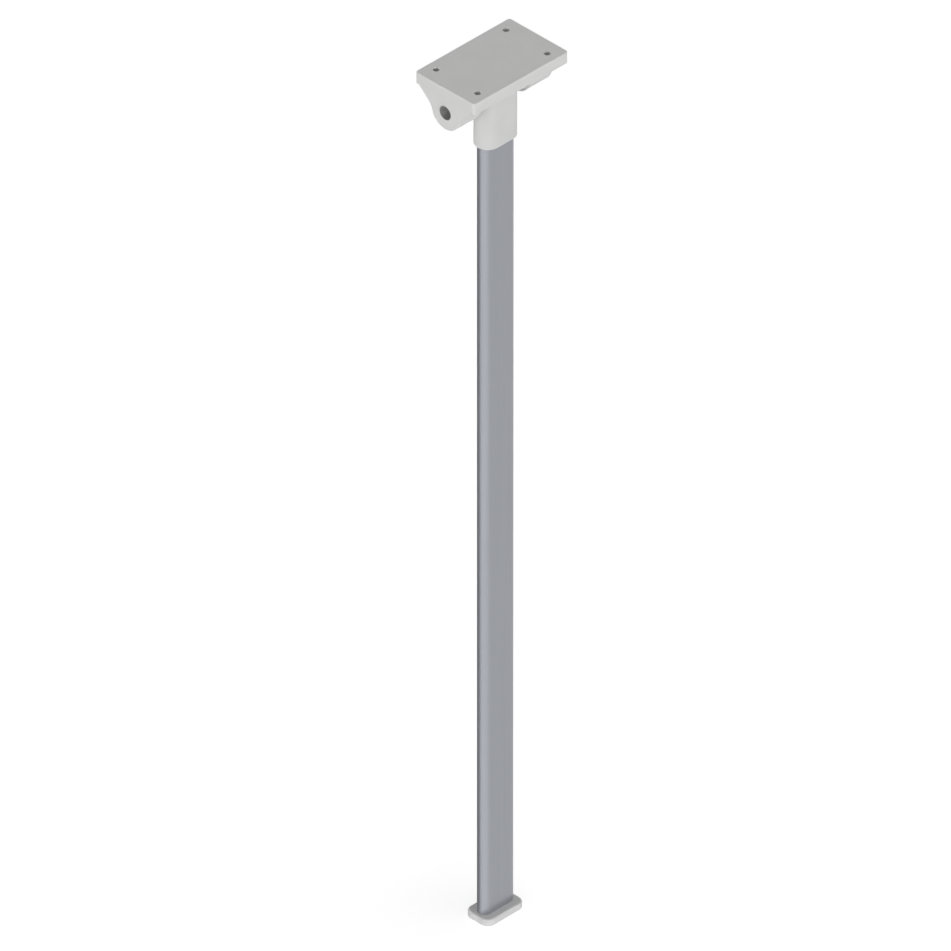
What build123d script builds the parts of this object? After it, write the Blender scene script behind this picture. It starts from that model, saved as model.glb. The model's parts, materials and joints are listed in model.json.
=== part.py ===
from build123d import *
import os

# Folding table leg. Millimetres, +Z up. The origin is the middle of the face that is screwed under
# the table top. X runs along the hinge, and the leg folds up towards +Y until it lies under the table.

# Driving dimensions

# Height from the floor to the underside of the table top
leg_height = 690.0

# Flat-oval leg tube, which stands a little in front of the pin
tube_width = 30.0
tube_thickness = 10.5
tube_wall = 1.5
leg_offset = 3.3

# Mounting plate, hollow underneath between the cheeks
plate_width = 55.2
plate_depth = 8.7
plate_top_wall = 4.5
plate_rim_wall = 3.0
plate_corner_radius = 2.4
plate_edge_radius = 0.5

# Holes for the four screws into the table top, with seats for their heads underneath
hole_end_margin = 11.6
hole_side_margin = 8.35
hole_diameter = 4.6
hole_seat_diameter = 9.0
hole_seat_land = 5.0

# Hinge cheeks under the plate
boss_radius = 13.0
cheek_thickness = 19.3
cheek_inset = 0.6
gusset_margin = 2.2
gusset_fillet = 9.0
cheek_edge_radius = 0.5

# Friction washers, one between the knuckle and each cheek
friction_thickness = 2.4
friction_proud = 0.1
friction_headroom = 2.6
friction_edge_radius = 0.3
peg_diameter = 4.0
peg_length = 3.0

# Pivot: a sleeve nut from the right and a screw from the left, with their heads deep in round recesses
sleeve_diameter = 8.0
sleeve_short = 2.0
pivot_screw_diameter = 6.0
pivot_screw_reach = 32.0
pivot_head_diameter = 10.2
pivot_head_height = 4.0
pivot_head_recess = 7.2
pivot_head_edge_radius = 0.4
hex_across_flats = 5.0
hex_depth = 2.4
washer_thickness = 1.0
spring_thickness = 0.6
spring_cone_height = 0.3

# Leg head: knuckle, stop heel and tube socket
knuckle_radius = 11.0
knuckle_shoulder = 5.2
knuckle_edge_radius = 0.5
socket_side_wall = 1.4
socket_face_wall = 4.2
socket_depth = 25.0
socket_web = 4.0
socket_lip_radius = 1.1
heel_width = 8.0
heel_edge_radius = 0.6

# Countersunk screws that hold the tube in the socket, at the back
head_screw_spacing = 14.0
head_screw_lip_distance = 11.0
head_screw_diameter = 3.4
head_screw_head_diameter = 6.2
head_screw_length = 9.0
cross_width = 0.9
cross_span = 3.2
cross_depth = 1.1

# Foot: a flange on the floor and a finned plug in the tube
foot_margin_x = 3.2
foot_margin_y = 6.1
foot_depth = 5.2
foot_corner_radius = 6.5
foot_top_radius = 1.5
foot_bottom_radius = 0.6
plug_length = 28.0
fin_count = 4
fin_height = 0.6
fin_thickness = 1.4

# Clearances
running_clearance = 0.05
recess_clearance = 0.1
thread_clearance = 0.05
spring_bore_clearance = 0.3
tube_fit = 0.1
plug_fit = 0.05
screw_fit = 0.05
knuckle_gap = 0.1
peg_end_gap = 0.2
stop_gap = 0.1

# Sizes that follow

socket_width = tube_width + 2 * (tube_fit + socket_side_wall)
socket_thickness = tube_thickness + 2 * (tube_fit + socket_face_wall)
knuckle_width = socket_width + 2 * knuckle_shoulder
slot_wall_x = knuckle_width / 2 + knuckle_gap + friction_thickness
cheek_face_x = slot_wall_x + cheek_thickness
plate_length = 2 * (cheek_face_x + cheek_inset)

friction_radius = boss_radius + friction_proud
pin_z = -(plate_top_wall + friction_headroom + friction_radius)
pin_axis = Axis((0, 0, pin_z), (1, 0, 0))
sleeve_bore_radius = sleeve_diameter / 2 + running_clearance
peg_circle_radius = (sleeve_bore_radius + friction_radius) / 2

leg_y = -leg_offset
socket_back_y = leg_y + socket_thickness / 2
socket_top_z = pin_z - knuckle_radius - socket_web
socket_lip_z = socket_top_z - socket_depth

floor_z = -leg_height
flange_top_z = floor_z + foot_depth
bore_width = tube_width - 2 * tube_wall
bore_thickness = tube_thickness - 2 * tube_wall

# Along X, the screw side is at the left: head, disc spring and washer on the floor of its recess
recess_radius = pivot_head_diameter / 2 + recess_clearance
spring_height = spring_thickness + spring_cone_height
head_face_x = cheek_face_x - pivot_head_recess
nut_seat_x = head_face_x - pivot_head_height
screw_seat_x = -nut_seat_x
washer_top_x = screw_seat_x + spring_height
washer_seat_x = washer_top_x + washer_thickness
sleeve_end_x = washer_seat_x + sleeve_short
screw_tip_x = screw_seat_x + pivot_screw_reach

head_screw_z = socket_lip_z + head_screw_lip_distance
countersink_depth = (head_screw_head_diameter - head_screw_diameter) / 2


def pin_bar(radius, start_x, end_x):
    """A round bar about the pin's axis."""
    return extrude(Plane((start_x, 0, pin_z), z_dir=(1, 0, 0)) * Circle(radius), amount=end_x - start_x)


def leg_bar(width, thickness, bottom_z, top_z):
    """An upright bar of flat-oval section on the leg's own axis."""
    return extrude(Pos(0, leg_y, bottom_z) * SlotOverall(width, thickness), amount=top_z - bottom_z)


def cheek_outline():
    """The cheek seen along the pin: a round boss under gussets that spread out to the plate."""
    gusset_top = plate_width / 2 - gusset_margin
    wedge = make_face(Polyline(
        (-gusset_top, -plate_top_wall),
        (-gusset_top, -plate_depth),
        (-boss_radius, pin_z),
        (boss_radius, pin_z),
        (gusset_top, -plate_depth),
        (gusset_top, -plate_top_wall),
        close=True,
    ))
    outline = wedge + Pos(0, pin_z) * Rot(0, 0, 90) * Circle(boss_radius)
    return fillet(outline.vertices().sort_by(Axis.Y)[:2], gusset_fillet)


def cheek():
    """The right-hand cheek, from the slot's wall to its outer face."""
    block = extrude(Plane.YZ.offset(slot_wall_x) * cheek_outline(), amount=cheek_thickness)
    outer_edges = block.edges().group_by(Axis.X)[-1]
    low_edges = outer_edges.filter_by(lambda edge: edge.center().Z < -plate_depth)
    return fillet(low_edges, cheek_edge_radius)


def peg_pair(diameter, length):
    """Two pegs beside the pin that run from the slot's right wall into the right-hand cheek."""
    wall = Plane((slot_wall_x, 0, pin_z), x_dir=(0, 1, 0), z_dir=(1, 0, 0))
    places = Locations((-peg_circle_radius, 0), (peg_circle_radius, 0))
    return extrude(wall * (Sketch() + [place * Circle(diameter / 2) for place in places]), amount=length)


def mounting_bracket():
    plate = extrude(RectangleRounded(plate_length, plate_width, plate_corner_radius), amount=-plate_depth)
    plate = fillet(plate.faces().sort_by(Axis.Z)[-1].edges(), plate_edge_radius)
    pocket_depth = plate_depth - plate_top_wall
    pocket = Pos(0, 0, -plate_top_wall) * Box(
        2 * slot_wall_x, plate_width - 2 * plate_rim_wall, pocket_depth,
        align=(Align.CENTER, Align.CENTER, Align.MAX))
    bracket = plate - pocket + cheek() + mirror(cheek(), about=Plane.YZ)

    hole_x = plate_length / 2 - hole_end_margin
    hole_y = plate_width / 2 - hole_side_margin
    hole = Cylinder(hole_diameter / 2, plate_depth, align=(Align.CENTER, Align.CENTER, Align.MAX))
    seat = Pos(0, 0, -hole_seat_land) * Cylinder(
        hole_seat_diameter / 2, leg_height, align=(Align.CENTER, Align.CENTER, Align.MAX))
    for place in GridLocations(2 * hole_x, 2 * hole_y, 2, 2):
        bracket -= place * (hole + seat)

    bracket -= pin_bar(sleeve_bore_radius, -cheek_face_x, cheek_face_x)
    bracket -= pin_bar(recess_radius, -cheek_face_x, washer_seat_x)
    bracket -= pin_bar(recess_radius, nut_seat_x, cheek_face_x)
    peg_holes = peg_pair(peg_diameter + 2 * running_clearance, peg_length + peg_end_gap)
    return bracket - peg_holes - mirror(peg_holes, about=Plane.YZ)


def friction_washers():
    """Pegs keep each washer from turning in its cheek, and the knuckle rubs on its other face."""
    ring = pin_bar(friction_radius, slot_wall_x - friction_thickness, slot_wall_x)
    ring = fillet(ring.edges(), friction_edge_radius)
    ring += peg_pair(peg_diameter, peg_length)
    ring -= pin_bar(sleeve_bore_radius, 0, slot_wall_x)
    return Part() + [ring, mirror(ring, about=Plane.YZ)]


def leg_head():
    column = leg_bar(socket_width, socket_thickness, socket_lip_z, pin_z)
    column = fillet(column.faces().sort_by(Axis.Z)[0].edges(), socket_lip_radius)
    knuckle = pin_bar(knuckle_radius, -knuckle_width / 2, knuckle_width / 2)
    knuckle = fillet(knuckle.edges(), knuckle_edge_radius)

    # The heel stands up in front of the pin: under load it bears on the plate and stops the leg upright
    heel_top_z = -plate_top_wall - stop_gap
    heel = Pos(0, 0, pin_z) * Box(
        knuckle_width, heel_width, heel_top_z - pin_z, align=(Align.CENTER, Align.MAX, Align.MIN))
    heel = fillet(heel.faces().sort_by(Axis.Z)[-1].edges(), heel_edge_radius)

    head = column + knuckle + heel
    head -= leg_bar(tube_width + 2 * tube_fit, tube_thickness + 2 * tube_fit, socket_lip_z, socket_top_z)
    head -= pin_bar(sleeve_bore_radius, -knuckle_width / 2, knuckle_width / 2)
    return head - head_screw_pair(screw_fit)


def head_screw_pair(clearance):
    """Both tube screws, with their heads flush in the socket's back, or the holes for them."""
    radius = head_screw_diameter / 2 + clearance
    shank = Cylinder(radius, head_screw_length, align=(Align.CENTER, Align.CENTER, Align.MAX))
    cone = Cone(
        radius, radius + countersink_depth, countersink_depth, align=(Align.CENTER, Align.CENTER, Align.MAX))
    across = head_screw_spacing / 2
    back = Plane((0, socket_back_y, head_screw_z), x_dir=(-1, 0, 0), z_dir=(0, 1, 0))
    return Part() + [back * Pos(x, 0, 0) * (shank + cone) for x in (-across, across)]


def head_screws():
    blade = Box(cross_span, cross_width, cross_depth, align=(Align.CENTER, Align.CENTER, Align.MAX))
    cross = blade + Rot(0, 0, 90) * blade
    back = Plane((0, socket_back_y, head_screw_z), x_dir=(-1, 0, 0), z_dir=(0, 1, 0))
    across = head_screw_spacing / 2
    screws = head_screw_pair(0)
    for x in (-across, across):
        screws -= back * Pos(x, 0, 0) * cross
    return screws


def leg_tube():
    tube = leg_bar(tube_width, tube_thickness, flange_top_z, socket_top_z)
    tube -= leg_bar(bore_width, bore_thickness, flange_top_z, socket_top_z)
    return tube - head_screw_pair(screw_fit)


def foot_plug():
    foot_length = tube_width + 2 * foot_margin_x
    foot_width = tube_thickness + 2 * foot_margin_y
    flange_section = Pos(0, leg_y, floor_z) * RectangleRounded(foot_length, foot_width, foot_corner_radius)
    flange = extrude(flange_section, amount=foot_depth)
    flange = fillet(flange.faces().sort_by(Axis.Z)[-1].edges(), foot_top_radius)
    flange = fillet(flange.faces().sort_by(Axis.Z)[0].edges(), foot_bottom_radius)

    fin_width = bore_width - 2 * plug_fit
    fin_span = bore_thickness - 2 * plug_fit
    core_width = fin_width - 2 * fin_height
    core_span = fin_span - 2 * fin_height
    plug = flange + leg_bar(core_width, core_span, flange_top_z, flange_top_z + plug_length)
    pitch = plug_length / (fin_count + 1)
    for number in range(1, fin_count + 1):
        fin_z = flange_top_z + number * pitch
        plug += leg_bar(fin_width, fin_span, fin_z, fin_z + fin_thickness)
    return plug


def pivot_head():
    """The right-hand pivot head: a round head with a hexagon socket."""
    head = pin_bar(pivot_head_diameter / 2, nut_seat_x, head_face_x)
    head = fillet(head.edges().group_by(Axis.X)[-1], pivot_head_edge_radius)
    face_plane = Plane((head_face_x, 0, pin_z), z_dir=(-1, 0, 0))
    outline = face_plane * RegularPolygon(hex_across_flats / 2, 6, major_radius=False)
    return head - extrude(outline, amount=hex_depth)


def pivot_screw():
    shank = pin_bar(pivot_screw_diameter / 2, screw_seat_x, screw_tip_x)
    return mirror(pivot_head(), about=Plane.YZ) + shank


def sleeve_nut():
    barrel = pin_bar(sleeve_diameter / 2, sleeve_end_x, nut_seat_x)
    thread = pin_bar(pivot_screw_diameter / 2 + thread_clearance, sleeve_end_x, screw_tip_x + sleeve_short)
    return pivot_head() + barrel - thread


def screw_washer():
    bore = pin_bar(pivot_screw_diameter / 2 + spring_bore_clearance, washer_top_x, washer_seat_x)
    return pin_bar(pivot_head_diameter / 2, washer_top_x, washer_seat_x) - bore


def disc_spring():
    """A shallow cone: its rim stands on the washer and its bore carries the screw's head."""
    inner = pin_z + pivot_screw_diameter / 2 + spring_bore_clearance
    outer = pin_z + pivot_head_diameter / 2
    section = make_face(Plane.XZ * Polyline(
        (washer_top_x, outer),
        (washer_top_x - spring_thickness, outer),
        (screw_seat_x, inner),
        (screw_seat_x + spring_thickness, inner),
        close=True,
    ))
    return revolve(section, axis=pin_axis)


nodes = {
    "mounting_bracket": mounting_bracket(),
    "leg_head": leg_head(),
    "leg_tube": leg_tube(),
    "foot_plug": foot_plug(),
    "pivot_screw": pivot_screw(),
    "sleeve_nut": sleeve_nut(),
    "screw_washer": screw_washer(),
    "disc_spring": disc_spring(),
    "friction_washers": friction_washers(),
    "head_screws": head_screws(),
}

os.makedirs("parts", exist_ok=True)
for name, solid in nodes.items():
    export_step(solid, f"parts/{name}.step")
    print(name, round(solid.volume, 1))
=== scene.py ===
# %% [markdown]
# A folding table leg. A flat-oval aluminium tube stands on a moulded foot, and its moulded head turns on a
# pivot between two cheeks under a plate, which is screwed to the underside of a table top.
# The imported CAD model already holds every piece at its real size, in metres, with the plate's top face at
# the origin and +Z up. This file adds what CAD does not have: finishes, light and a camera.

# %% Load the frame
import json
from math import cos, pi, radians, sin

import bmesh
import bpy
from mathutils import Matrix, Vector


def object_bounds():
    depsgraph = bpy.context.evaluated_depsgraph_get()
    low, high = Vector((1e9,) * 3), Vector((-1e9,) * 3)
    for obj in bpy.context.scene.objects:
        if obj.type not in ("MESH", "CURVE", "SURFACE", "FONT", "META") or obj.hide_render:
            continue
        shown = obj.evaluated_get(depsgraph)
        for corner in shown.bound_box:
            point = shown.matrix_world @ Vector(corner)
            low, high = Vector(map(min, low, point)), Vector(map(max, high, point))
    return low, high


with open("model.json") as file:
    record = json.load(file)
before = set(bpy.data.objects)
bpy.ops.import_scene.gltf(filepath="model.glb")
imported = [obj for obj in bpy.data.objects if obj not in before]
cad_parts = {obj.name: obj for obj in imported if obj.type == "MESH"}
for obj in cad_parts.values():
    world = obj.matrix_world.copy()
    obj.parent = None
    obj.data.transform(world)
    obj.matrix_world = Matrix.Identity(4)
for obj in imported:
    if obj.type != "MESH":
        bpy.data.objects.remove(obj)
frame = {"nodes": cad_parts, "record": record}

nodes = frame["nodes"]
cad_low, cad_high = [list(corner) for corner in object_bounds()]
floor_height = cad_low[2]
print("CAD box from", cad_low, "to", cad_high)

# %% [markdown]
# The photograph is an isometric view: the camera looks down along a diagonal of a cube, and far edges are as
# long as near ones. An orthographic camera would do that too, but its scale stays fixed, and the folded leg
# would leave the frame in other views. A very long lens from far away gives the same picture.

# %% Camera
lens = 1500.0
camera_distance = 26.3425
aim = Vector((-0.004701, 0.010507, -0.337544))
towards_camera = Vector((-1, -1, 1)).normalized()

camera_data = bpy.data.cameras.new("isometric_camera")
camera_data.lens = lens
camera_data.clip_end = 2 * camera_distance
camera = bpy.data.objects.new("isometric_camera", camera_data)
camera.location = aim + camera_distance * towards_camera
camera.rotation_euler = (-towards_camera).to_track_quat("-Z", "Y").to_euler()
bpy.context.scene.collection.objects.link(camera)
bpy.context.scene.camera = camera
bpy.context.scene.view_settings.view_transform = "Standard"
print("camera at", [round(value, 3) for value in camera.location])

# %% [markdown]
# A finish is a small program of nodes. Written link by link it is hard to read, so one class wraps a node's
# output, and Python's own operators add the Math nodes: 0.4 + 0.1 * grain reads as it would on paper.
# Every other node comes from the same class, which sets its settings first and then its sockets.


# %% Shader helper
class Wire:
    """A node's output that takes part in Python sums."""

    def __init__(self, socket):
        self.socket = socket
        self.tree = socket.id_data

    @classmethod
    def node(cls, tree, kind, settings=None, sockets=None, output=0):
        """Adds a node, sets its settings, fills or links its sockets, and wraps one of its outputs."""
        made = tree.nodes.new(kind)
        for name, value in (settings or {}).items():
            if name == "stops":
                elements = made.color_ramp.elements
                for place, (position, shade) in enumerate(value):
                    element = elements[place] if place < len(elements) else elements.new(position)
                    element.position = position
                    element.color = (*shade, 1)
            else:
                setattr(made, name, value)
        for name, value in (sockets or {}).items():
            if isinstance(value, cls):
                tree.links.new(value.socket, made.inputs[name])
            else:
                made.inputs[name].default_value = value
        return cls(made.outputs[output]) if made.outputs else None

    def other(self, output):
        """Another output of the same node."""
        return Wire(self.socket.node.outputs[output])

    def math(self, operation, first, second):
        """One Math node with two inputs."""
        return Wire.node(self.tree, "ShaderNodeMath", {"operation": operation}, {0: first, 1: second})

    def __add__(self, value):
        return self.math("ADD", self, value)

    def __radd__(self, value):
        return self.math("ADD", value, self)

    def __sub__(self, value):
        return self.math("SUBTRACT", self, value)

    def __rsub__(self, value):
        return self.math("SUBTRACT", value, self)

    def __mul__(self, value):
        return self.math("MULTIPLY", self, value)

    def __rmul__(self, value):
        return self.math("MULTIPLY", value, self)

    def __pow__(self, value):
        return self.math("POWER", self, value)

    def __gt__(self, value):
        return self.math("GREATER_THAN", self, value)


# %% Shared steps of a finish
noise_low = 0.3
noise_high = 0.7


def new_finish(name):
    """An empty material, its node tree, and the place on the piece that its patterns read."""
    material = bpy.data.materials.new(name)
    material.use_nodes = True
    tree = material.node_tree
    tree.nodes.clear()
    place = Wire.node(tree, "ShaderNodeTexCoord", output="Object")
    return material, tree, place


def noise(tree, place, size, detail=2.0):
    """Soft random spots of about the given size in metres, from 0 to 1."""
    sockets = {"Vector": place, "Scale": 1 / size, "Detail": detail}
    return Wire.node(tree, "ShaderNodeTexNoise", None, sockets, "Fac")


def shades(tree, amount, dark, light):
    """A colour between two, where the noise is low or high."""
    stops = [(noise_low, dark), (noise_high, light)]
    return Wire.node(tree, "ShaderNodeValToRGB", {"stops": stops}, {"Fac": amount})


def colour_mix(tree, factor, first, second):
    """A mix of two colours. A Mix node's colour sockets come after those for numbers and vectors."""
    sockets = {0: factor, 6: first, 7: second}
    return Wire.node(tree, "ShaderNodeMix", {"data_type": "RGBA"}, sockets, 2)


def bumps(tree, height, depth, strength):
    """The direction of a surface with small bumps of the given depth in metres."""
    sockets = {"Height": height, "Strength": strength, "Distance": depth}
    return Wire.node(tree, "ShaderNodeBump", None, sockets)


def surface(tree, sockets):
    """Ends a finish with one Principled shader."""
    shader = Wire.node(tree, "ShaderNodeBsdfPrincipled", None, sockets)
    Wire.node(tree, "ShaderNodeOutputMaterial", None, {"Surface": shader})


def spotted_finish(name, dark, light, size, detail, depth, strength, metallic, roughness, rough_change):
    """A finish whose tone, roughness and bumps all follow one noise."""
    material, tree, place = new_finish(name)
    spots = noise(tree, place, size, detail)
    surface(tree, {
        "Base Color": shades(tree, spots, dark, light),
        "Metallic": metallic,
        "Roughness": roughness + rough_change * spots,
        "Normal": bumps(tree, spots, depth, strength),
    })
    return material


def dress(material, *names):
    """Gives CAD nodes a finish through their material slots."""
    for name in names:
        nodes[name].material_slots[0].material = material
    print(material.name, "on", ", ".join(names))


# %% [markdown]
# The plate, the leg's head and the foot are off-white injection mouldings. A mould for such parts is
# spark-eroded, which leaves a fine satin grain, and the resin flows a little unevenly, which leaves faint
# clouds of tone. Grain goes into the bump and the roughness, and the clouds into the colour.
# The head is given darker tones than the plate and the foot, as painted shade for the shade under the plate,
# so one function makes the finish in either tone.
# The walls of the round recesses at the ends of the hinge take a darker colour, which is painted shade for
# the recess. The distance from the hinge's axis tells their wall from the rest, so no second material is
# needed: a Mix node takes the painted shade inside that radius.

# %% Moulded plastic
plastic_light = (0.655, 0.655, 0.65)
plastic_dark = (0.625, 0.625, 0.62)
# The head's tones are darker than the plate's: painted shade from the plate above it.
shaded_head_light = (0.622, 0.622, 0.617)
shaded_head_dark = (0.592, 0.592, 0.587)
# Darker tones for the recess walls round the pivot: painted shade.
recess_shade_light = (0.4, 0.4, 0.395)
recess_shade_dark = (0.36, 0.36, 0.355)
mould_grain_size = 0.0005
mould_grain_depth = 0.00002
mould_grain_strength = 0.5
mould_roughness = 0.36
mould_rough_change = 0.12
flow_cloud_size = 0.02
flow_cloud_detail = 4.0
recess_radius = 0.00525
pin_height = frame["record"]["behaviour"]["joints"][0]["pos_m"][2]


def moulded_finish(name, dark, light):
    """Satin moulding between two tones, with painted shade on the recess walls round the hinge's axis."""
    material, tree, place = new_finish(name)
    grain = noise(tree, place, mould_grain_size)
    clouds = noise(tree, place, flow_cloud_size, flow_cloud_detail)
    beside_pin = Wire.node(tree, "ShaderNodeSeparateXYZ", None, {"Vector": place}, "Y")
    above_pin = beside_pin.other("Z") - pin_height
    outside_recess = beside_pin ** 2 + above_pin ** 2 > recess_radius ** 2
    plain_tone = shades(tree, clouds, dark, light)
    # Inside the recess radius the colour is painted shade.
    painted_recess_shade = shades(tree, grain, recess_shade_dark, recess_shade_light)
    surface(tree, {
        "Base Color": colour_mix(tree, outside_recess, painted_recess_shade, plain_tone),
        "Roughness": mould_roughness + mould_rough_change * grain,
        "Normal": bumps(tree, grain, mould_grain_depth, mould_grain_strength),
    })
    return material


dress(moulded_finish("moulded_plastic", plastic_dark, plastic_light), "mounting_bracket", "foot_plug")
# The head takes the darker tones, which paint the shade under the plate.
dress(moulded_finish("head_plastic_painted_shade", shaded_head_dark, shaded_head_light), "leg_head")

# %% [markdown]
# The tube is extruded aluminium, satin anodised. The die draws fine straight lines along it, which show as
# thin streaks of tone and gloss. Stretching noise along Z draws them: a Mapping node squeezes the Z
# coordinate, so that one spot of noise becomes a line some centimetres long. A second, wider noise of the
# same kind makes the tone change slowly across the tube.

# %% Anodised aluminium
anodised_light = (0.39, 0.404, 0.437)
anodised_dark = (0.356, 0.37, 0.403)
anodised_metallic = 0.7
anodised_roughness = 0.26
anodised_rough_change = 0.1
die_line_width = 0.0008
die_line_detail = 3.0
die_line_stretch = 200
die_line_depth = 0.000004
die_line_strength = 0.5
bloom_width = 0.016
line_share = 0.7
bloom_share = 0.3

tube_aluminium, tree, place = new_finish("tube_aluminium")
squeezed = (1, 1, 1 / die_line_stretch)
along = Wire.node(tree, "ShaderNodeMapping", None, {"Vector": place, "Scale": squeezed})
lines = noise(tree, along, die_line_width, die_line_detail)
bloom = noise(tree, along, bloom_width)
surface(tree, {
    "Base Color": shades(tree, line_share * lines + bloom_share * bloom, anodised_dark, anodised_light),
    "Metallic": anodised_metallic,
    "Roughness": anodised_roughness + anodised_rough_change * lines,
    "Normal": bumps(tree, lines, die_line_depth, die_line_strength),
})
dress(tube_aluminium, "leg_tube")

# %% [markdown]
# The pivot's screw and sleeve nut are steel with a satin nickel plate. It is greyer and softer than zinc, and
# the turned steel under it leaves fine uneven spots, which go into tone, gloss and bump alike.

# %% Nickel-plated pivot steel
pivot_steel = spotted_finish(
    "pivot_steel", dark=(0.44, 0.435, 0.43), light=(0.52, 0.515, 0.505), size=0.0004, detail=4.0,
    depth=0.000006, strength=0.4, metallic=1.0, roughness=0.35, rough_change=0.15)
dress(pivot_steel, "pivot_screw", "sleeve_nut")

# %% [markdown]
# The washer, the disc spring and the two screws in the head's back are zinc plated. Plating follows the
# small marks of stamping and rolling, so its gloss and tone change in spots of about a millimetre.

# %% Zinc plate
zinc_steel = spotted_finish(
    "zinc_steel", dark=(0.5, 0.51, 0.53), light=(0.6, 0.61, 0.63), size=0.001, detail=4.0,
    depth=0.00001, strength=0.4, metallic=1.0, roughness=0.22, rough_change=0.16)
dress(zinc_steel, "screw_washer", "disc_spring", "head_screws")

# %% [markdown]
# The friction washers are a darker, harder plastic that rubs well against the head. They are matt, with
# a coarser grain than the mouldings.

# %% Washer plastic
washer_plastic = spotted_finish(
    "washer_plastic", dark=(0.55, 0.55, 0.56), light=(0.6, 0.6, 0.61), size=0.0009, detail=3.0,
    depth=0.00003, strength=0.5, metallic=0.0, roughness=0.5, rough_change=0.15)
dress(washer_plastic, "friction_washers")

# %% [markdown]
# The leg stands on a plain white floor that melts into a white room, with only a faint shadow beside the
# foot. To the camera the floor is mostly its own white and a little of the light that falls on it, so the
# shadow stays. Its underside is clear, so that the foot can be seen from below.

# %% Floor
floor_size = 16.0
floor_white = 0.77
floor_shadow_share = 0.5
floor_paint = 0.95


def grey(shade):
    """A colour without hue, for a colour socket."""
    return (shade, shade, shade, 1)


floor_finish = bpy.data.materials.new("floor_white")
floor_finish.use_nodes = True
tree = floor_finish.node_tree
tree.nodes.clear()
camera_ray = Wire.node(tree, "ShaderNodeLightPath", output="Is Camera Ray")
seen_light = Wire.node(tree, "ShaderNodeEmission", None, {"Strength": floor_white})
seen_shade = Wire.node(tree, "ShaderNodeBsdfDiffuse", None, {"Color": grey(floor_shadow_share)})
seen = Wire.node(tree, "ShaderNodeAddShader", None, {0: seen_light, 1: seen_shade})
painted = Wire.node(tree, "ShaderNodeBsdfDiffuse", None, {"Color": grey(floor_paint)})
top_side = Wire.node(tree, "ShaderNodeMixShader", None, {0: camera_ray, 1: painted, 2: seen})
underside = Wire.node(tree, "ShaderNodeBsdfTransparent")
from_below = Wire.node(tree, "ShaderNodeNewGeometry", output="Backfacing")
both_sides = Wire.node(tree, "ShaderNodeMixShader", None, {0: from_below, 1: top_side, 2: underside})
Wire.node(tree, "ShaderNodeOutputMaterial", None, {"Surface": both_sides})
floor_finish.cycles.emission_sampling = "NONE"

bm = bmesh.new()
bmesh.ops.create_grid(bm, x_segments=1, y_segments=1, size=floor_size / 2)
bmesh.ops.translate(bm, vec=(0, 0, floor_height), verts=bm.verts)
floor_mesh = bpy.data.meshes.new("floor")
bm.to_mesh(floor_mesh)
bm.free()
floor_mesh.materials.append(floor_finish)
floor = bpy.data.objects.new("floor", floor_mesh)
floor.visible_glossy = False
bpy.context.scene.collection.objects.link(floor)
print("floor at", floor_height)

# %% [markdown]
# The room is a soft white tent: bright at the horizon and dimmer overhead, so that upright faces come out
# a little lighter than level ones. The camera sees it as plain white. Metal sees it as white too, with
# a brighter stretch behind the camera and a dark flag at the left and back, which draws the light band and
# the dark edge on the tube's rounded side. A colour ramp round the compass paints both. They lie low, well
# under the horizon, so that the tube stays light when it is seen level or from below.

# %% Room light
horizon_light = 4.75
horizon_sharpness = 3
floor_bounce = 0.424
mirror_white = 0.752
level_white = 0.9
flag_edge = 0.3
# Each pair is a heading in degrees, counted from +X towards +Y, and the brightness there.
tent_compass = [(-180, 1.0), (-45, 1.0), (-15, 0.3), (92, 0.3), (122, 1.0)]
mirror_compass = [
    (-180, 1.5), (-105, 1.5), (-60, 1.0), (25, 1.0), (45, 0.15), (130, 0.15), (162, 1.1), (176, 1.5)]

world = bpy.data.worlds.new("white_room")
world.use_nodes = True
world.cycles.sampling_method = "NONE"
bpy.context.scene.world = world
tree = world.node_tree
tree.nodes.clear()
direction = Wire.node(tree, "ShaderNodeTexCoord", output="Generated")
across = Wire.node(tree, "ShaderNodeSeparateXYZ", None, {"Vector": direction}, "X")
ahead = across.other("Y")
height = across.other("Z")
above = height > 0
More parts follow.
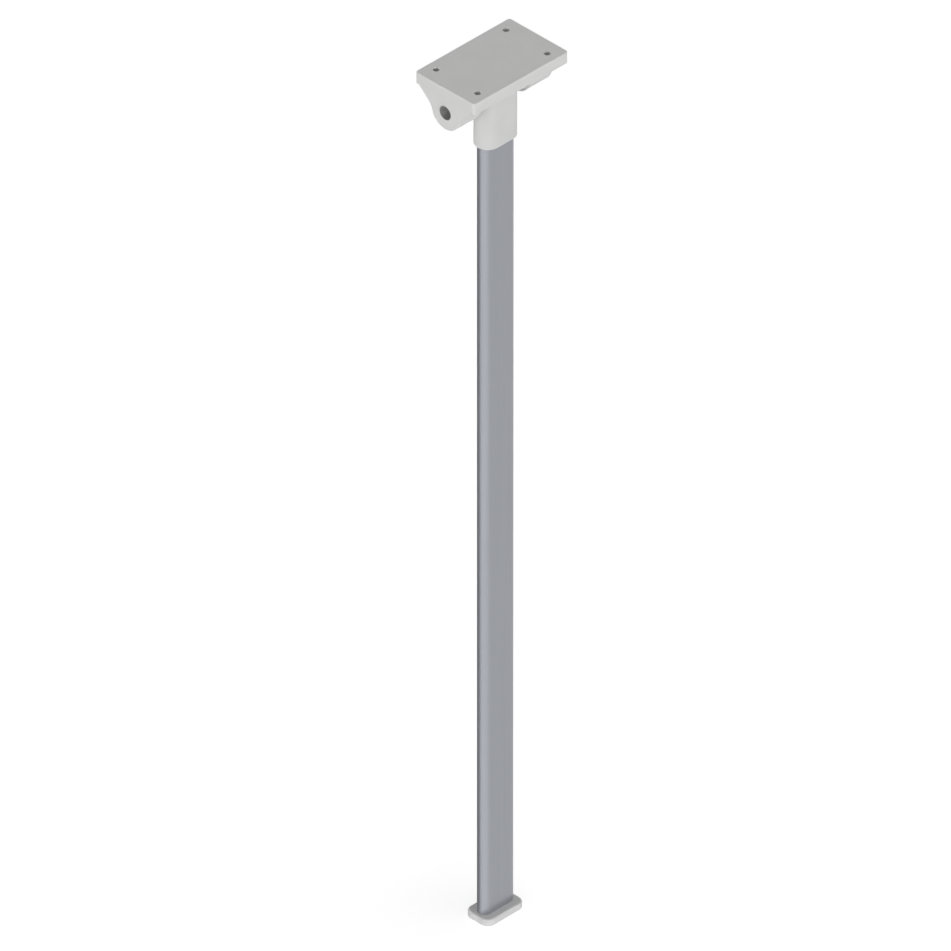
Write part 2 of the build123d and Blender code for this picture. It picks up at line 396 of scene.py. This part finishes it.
# The heading runs from 0 to 1 once round the compass, because a colour ramp does.
heading = across.math("ARCTAN2", ahead, across) * (0.5 / pi) + 0.5


def painted_round(compass):
    """Brightness by heading, from a list of degrees and shades."""
    stops = [(0.5 + degrees / 360, (shade,) * 3) for degrees, shade in compass]
    return Wire.node(tree, "ShaderNodeValToRGB", {"stops": stops}, {"Fac": heading})


horizon = painted_round(tent_compass) * horizon_light * (1 - height) ** horizon_sharpness
tent = above * horizon + (1 - above) * floor_bounce
clear = height > -flag_edge
mirrored = clear * level_white + (1 - clear) * mirror_white * painted_round(mirror_compass)
camera_ray = Wire.node(tree, "ShaderNodeLightPath", output="Is Camera Ray")
clear_ray = camera_ray + camera_ray.other("Is Transmission Ray")
glossy_ray = camera_ray.other("Is Glossy Ray")
room = clear_ray + glossy_ray * mirrored + (1 - clear_ray - glossy_ray) * tent
background = Wire.node(tree, "ShaderNodeBackground", None, {"Color": grey(1), "Strength": room})
Wire.node(tree, "ShaderNodeOutputWorld", None, {"Surface": background})
print("room with", len(tree.nodes), "nodes")

# %% [markdown]
# Two soft lamps finish the light. A wide one behind the camera, a little above level, lifts the faces that
# the camera sees. A smaller one overhead, a little to the right, lights the plate's top, keeps the foot in
# the plate's shade and lays the faint shadow to the left of the foot.

# %% Lamps
lamp_distance = 3.0


def soft_lamp(name, size, power, turn, rise):
    """A square area lamp that looks at the leg from a heading and a height in degrees."""
    lamp_data = bpy.data.lights.new(name, "AREA")
    lamp_data.size = size
    lamp_data.energy = power
    level = cos(radians(rise))
    direction = Vector((level * cos(radians(turn)), level * sin(radians(turn)), sin(radians(rise))))
    lamp = bpy.data.objects.new(name, lamp_data)
    lamp.location = aim + lamp_distance * direction
    lamp.rotation_euler = (-direction).to_track_quat("-Z", "Y").to_euler()
    bpy.context.scene.collection.objects.link(lamp)
    print(name, "at", [round(value, 2) for value in lamp.location])


soft_lamp("soft_key", size=2.0, power=5.0, turn=-135, rise=12)
soft_lamp("overhead_lamp", size=0.4, power=18.6, turn=-50, rise=87.5)
